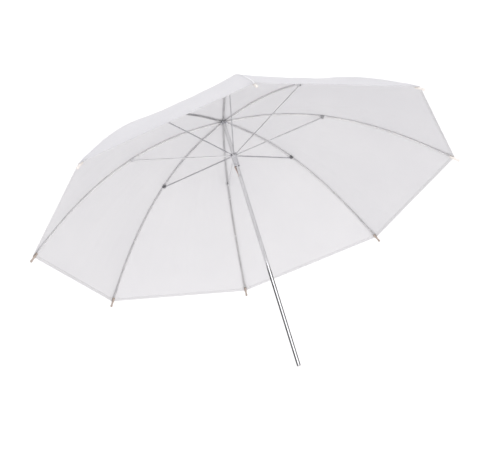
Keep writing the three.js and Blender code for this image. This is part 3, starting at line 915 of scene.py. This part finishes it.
def hem(k):
    """The turned-up edge: a second layer inside the panel, rolled round the cloth's edge."""
    vertices, shares, places = [], [], []
    for j in range(ACROSS + 1):
        v = j / ACROSS
        for across, lift in HEM_SECTION:
            vertices.append(panel_point(k, 1 + across * HEM_WIDTH / RIM_RATE, v, lift))
            shares.append(turning(1, v))
            places.append(((v - 0.5) * panel_width(1) * MM, across * HEM_WIDTH * MM))
    faces = grid_faces(ACROSS + 1, len(HEM_SECTION))
    obj = soften(mesh_object(f"hem_{k + 1}", vertices, faces, DOUBLE_CLOTH), 75)
    lay_weave(obj, places)
    fold_with_ribs(obj, shares)
    return obj


def stitch_mesh(name, runs, thickness=THREAD):
    """Short thread stitches, each from a to b on a surface that faces n, in metres."""
    vertices, faces = [], []
    for a, b, n in runs:
        step = b - a
        side = step.normalized().cross(n).normalized() * thickness * MM
        up = n.normalized() * thickness * 0.7 * MM
        first = len(vertices)
        vertices.append(a - up * 0.6)
        for t in (0.22, 0.78):
            centre = a + step * t
            vertices += [centre + side, centre + up, centre - side, centre - up]
        vertices.append(b - up * 0.6)
        for j in range(4):
            m = (j + 1) % 4
            faces.append((first, first + 1 + m, first + 1 + j))
            faces.append((first + 1 + j, first + 1 + m, first + 5 + m, first + 5 + j))
            faces.append((first + 5 + j, first + 5 + m, first + 9))
    obj = face_out(mesh_object(name, vertices, faces, THREAD_LOOK))
    obj.data.polygons.foreach_set("use_smooth", [True] * len(obj.data.polygons))
    return obj


def hem_stitches(k):
    """The row of stitches that holds the hem, seen on both faces of the cloth."""
    runs, shares = [], []
    width = panel_width(1)
    count = int((width - 16) / STITCH_PITCH)
    u = 1 - (HEM_WIDTH - 1.4) / RIM_RATE
    out = panel_out(k, u)
    for i in range(count):
        start = 8 + i * STITCH_PITCH
        v0, v1 = start / width, (start + STITCH_LENGTH) / width
        for lift, n in ((0.12, out), (-0.62, -out)):
            runs.append((panel_point(k, u, v0, lift), panel_point(k, u, v1, lift), n))
            shares += [turning(1, lerp(v0, v1, t)) for t in STITCH_SHARES]
    obj = stitch_mesh(f"hem_stitches_{k + 1}", runs)
    fold_with_ribs(obj, shares)
    return obj


def seam_point(k, u, aside, lift):
    """A point beside rib k's seam: on the panel before it when aside is negative, else on the one after."""
    width = panel_width(u)
    if aside < 0:
        return panel_point((k - 1) % RIBS, u, 1 + aside / width, lift)
    return panel_point(k, u, aside / width, lift)


def beside_seam(k, side, u, aside):
    """(panel, share): which panel holds a point beside rib k, and its share of the next rib on that panel.
    """
    share = aside / panel_width(u)
    return (k, turning(u, share)) if side > 0 else ((k - 1) % RIBS, turning(u, 1 - share))


def seam(k, side):
    """Half of the felled seam over rib k: a band of doubled cloth outside the panel on that side of the
    rib."""
    which = "after" if side > 0 else "before"
    vertices, shares, places = [], [], []
    for i in range(SEAM_ROWS + 1):
        u = lerp(0.008, 1.0 - 0.4 / RIM_RATE, i / SEAM_ROWS)
        half = min(SEAM_HALF_WIDTH, 0.42 * panel_width(u))
        for across, lift in SEAM_SECTION:
            vertices.append(seam_point(k, u, side * across * half, lift))
            shares.append(beside_seam(k, side, u, across * half)[1])
            places.append((side * across * half * MM, u * RIM_RATE * MM))
    faces = grid_faces(SEAM_ROWS + 1, len(SEAM_SECTION))
    obj = soften(mesh_object(f"seam_{k + 1}_{which}", vertices, faces, SEAM_CLOTH), 70)
    lay_weave(obj, places)
    fold_with_ribs(obj, shares)


def seam_stitches(k):
    """The row of stitches on the half of the seam after rib k."""
    runs, shares = [], []
    length = RIM_RATE * SEAM_RUN
    out = panel_out(k, 0.5)
    for i in range(int(length / STITCH_PITCH)):
        u0 = 0.06 + i * STITCH_PITCH / length * 0.92
        u1 = u0 + STITCH_LENGTH / length * 0.92
        aside = min(SEAM_HALF_WIDTH * 0.72, 0.3 * panel_width(u0))
        runs.append((seam_point(k, u0, aside, STITCH_LIFT), seam_point(k, u1, aside, STITCH_LIFT), out))
        ends = [beside_seam(k, 1, u, aside)[1] for u in (u0, u1)]
        shares += [lerp(*ends, t) for t in STITCH_SHARES]
    obj = stitch_mesh(f"seam_stitches_{k + 1}", runs)
    fold_with_ribs(obj, shares)


def corner_patch(k, side):
    """Half of the doubled corner of cloth that is sewn to a tip, inside the canopy, on one panel."""
    rows, columns = 10, 6
    vertices, shares, places = [], [], []
    for i in range(rows + 1):
        depth = PATCH_DEPTH * i / rows
        u = 1 - (0.5 + depth) / RIM_RATE
        half = lerp(PATCH_HALF_WIDTH, 2.4, (i / rows) ** 1.1)
        for j in range(columns + 1):
            aside = half * j / columns
            vertices.append(seam_point(k, u, side * aside, -0.75 if j < columns else -0.5))
            shares.append(beside_seam(k, side, u, aside)[1])
            places.append((side * aside * MM, depth * MM))
    name = f"corner_patch_{k + 1}_{'after' if side > 0 else 'before'}"
    obj = mesh_object(name, vertices, grid_faces(rows + 1, columns + 1), DOUBLE_CLOTH)
    lay_weave(obj, places)
    soften(obj, 70)
    fold_with_ribs(obj, shares)


def ties(k):
    """Thread wound three times round a rib and through its seam."""
    wire, around = 0.28, 40
    pieces = []
    for radius in TIE_RADII:
        rings = []
        for i in range(3 * around + 1):
            t = 2 * math.pi * i / around
            place = radius + 0.75 * (i / around - 1.5)
            aside, lift = math.cos(t) * (RIB_HALF_WIDTH + 0.35), math.sin(t) * 2.25 + 0.6
            aside = max(-RIB_HALF_WIDTH - 0.3, min(RIB_HALF_WIDTH + 0.3, aside * 1.25))
            lift = max(-RIB_HALF_DEPTH - 0.3, lift)
            out = Vector((0, math.sin(t), math.cos(t)))
            ring = []
            for j in range(6):
                b = 2 * math.pi * j / 6
                shift = wire * math.cos(b)
                x, y = rib_curve(place + wire * math.sin(b), lift + shift * out.y)
                ring.append((x, y, aside + shift * out.z))
            rings.append(ring)
        pieces.append(sweep("tie", rings, THREAD_LOOK))
    piece = merge(f"seam_ties_{k + 1}", pieces)
    piece.data.transform(rib_plane(k))
    settle(soften(piece, 80), f"rib_assembly_{k + 1}", "canopy_cloth")


shaft()
shaft_plug()
finial()
crown_washer()
crown()
runner()
catch()
for k in range(RIBS):
    rib(k)
    tip(k)
    clip(k)
    stretcher(k)
    seam(k, 1)
    seam_stitches(k)
    seam(k, -1)
    corner_patch(k, 1)
    corner_patch(k, -1)
    ties(k)
for k in range(RIBS):
    cloth = panel(k)
    edge = hem(k)
    hem_stitches(k)
    width, length, area = flat_pattern(k)


# ---------------------------------------------------------------- floor, light and camera
FLOOR_DROP = 0.95
PHOTO_AZIMUTH = -47.757
PHOTO_ELEVATION = 51.008
PHOTO_ROLL = 37.816
PHOTO_DISTANCE = 2.3689
LENS = 79.94
AIM = Vector((-0.0166, 0.2779, -0.0100))
SKY_TOWARDS = Vector((-0.33, -0.22, 0.92)).normalized()
SKY_BRIGHT = 1.84
SKY_DIM = 0.80
SKY_FRONT = (1.0, 0.985, 0.965)
SKY_BACK = (0.95, 0.955, 1.02)
FLOOR_HALF = 250.0
FLOOR_WHITE = (0.76, 0.755, 0.745)
FLOOR_GLOW = 0.05
KEY_AT = (-0.2, -1.7, 3.2)
KEY_AIM = (0, 0.3, 0)
KEY_SIZE = (1.6, 1.6)
KEY_WATTS = 19
KEY_COLOUR = (1.0, 0.99, 0.985)


def studio():
    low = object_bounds()[0]
    size, z = FLOOR_HALF, low[2] - FLOOR_DROP
    corners = [(-size, -size, z), (size, -size, z), (size, size, z), (-size, size, z)]
    paint, _, shader = material("floor_white", FLOOR_WHITE, 0.9)
    shader.inputs["Emission Color"].default_value = (1.0, 1.0, 1.0, 1.0)
    shader.inputs["Emission Strength"].default_value = FLOOR_GLOW
    floor = mesh_object("floor", corners, [(0, 1, 2, 3)], paint)
    floor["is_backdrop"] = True
    world = bpy.data.worlds.new("studio")
    world.use_nodes = True
    tree = world.node_tree
    sky = tree.nodes["Background"]
    coords = node(tree, "ShaderNodeTexCoord")
    for towards, horizon, low, high, kind in (
        (SKY_TOWARDS, 0.0, SKY_DIM, SKY_BRIGHT, "Strength"),
        (Vector((0, 1, 0)), -1.0, 0.0, 1.0, "Color"),
    ):
        facing = node(tree, "ShaderNodeVectorMath")
        facing.operation = "DOT_PRODUCT"
        facing.inputs[1].default_value = towards
        tree.links.new(coords.outputs["Generated"], facing.inputs[0])
        level = node(tree, "ShaderNodeMapRange")
        level.inputs["From Min"].default_value = horizon
        level.inputs["To Min"].default_value = low
        level.inputs["To Max"].default_value = high
        tree.links.new(facing.outputs["Value"], level.inputs["Value"])
        source = level.outputs["Result"]
        if kind == "Color":
            source = ramp(tree, source, [(0.0, SKY_FRONT), (1.0, SKY_BACK)]).outputs["Color"]
        tree.links.new(source, sky.inputs[kind])
    bpy.context.scene.world = world


def area_light(name, place, target, size, power, colour):
    data = bpy.data.lights.new(name, "AREA")
    data.shape = "RECTANGLE"
    data.size, data.size_y = size
    data.energy = power
    data.color = colour
    obj = bpy.data.objects.new(name, data)
    obj.location = place
    obj.rotation_euler = (Vector(target) - Vector(place)).to_track_quat("-Z", "Y").to_euler()
    obj.visible_glossy = False
    bpy.context.scene.collection.objects.link(obj)


def flag(name, start, end, radius, tone):
    """A curved dark card round the shaft, seen only in the metal's reflections: its angles are degrees
    about Y, measured from +X towards +Z."""
    steps, near, far = 24, -2.0, 4.0
    corners = []
    for i in range(steps + 1):
        a = math.radians(lerp(start, end, i / steps))
        corners += [(radius * math.cos(a), y, radius * math.sin(a)) for y in (near, far)]
    card = mesh_object(name, corners, grid_faces(steps + 1, 2), material(name, (tone, tone, tone), 0.9)[0])
    card.visible_camera = False
    card.visible_diffuse = False
    card.visible_transmission = False
    card.visible_shadow = False
    card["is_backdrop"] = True


def camera():
    a, e = math.radians(PHOTO_AZIMUTH), math.radians(PHOTO_ELEVATION)
    back = Vector((math.sin(a) * math.cos(e), -math.cos(a) * math.cos(e), math.sin(e)))
    data = bpy.data.cameras.new("camera")
    data.lens = LENS
    data.sensor_width = 36.0
    data.clip_end = 1000.0
    obj = bpy.data.objects.new("camera", data)
    look = (-back).to_track_quat("-Z", "Y").to_matrix()
    level = Matrix.Rotation(math.radians(PHOTO_ROLL), 3, "Z")
    obj.matrix_world = Matrix.Translation(AIM + back * PHOTO_DISTANCE) @ (look @ level).to_4x4()
    bpy.context.scene.collection.objects.link(obj)
    bpy.context.scene.camera = obj


studio()
area_light("key_panel", KEY_AT, KEY_AIM, KEY_SIZE, KEY_WATTS, KEY_COLOUR)
flag("flag_left", start=142, end=256, radius=1.25, tone=0.10)
flag("flag_right", start=-22, end=74, radius=1.45, tone=0.12)
camera()
bpy.context.scene.view_settings.view_transform = "Standard"
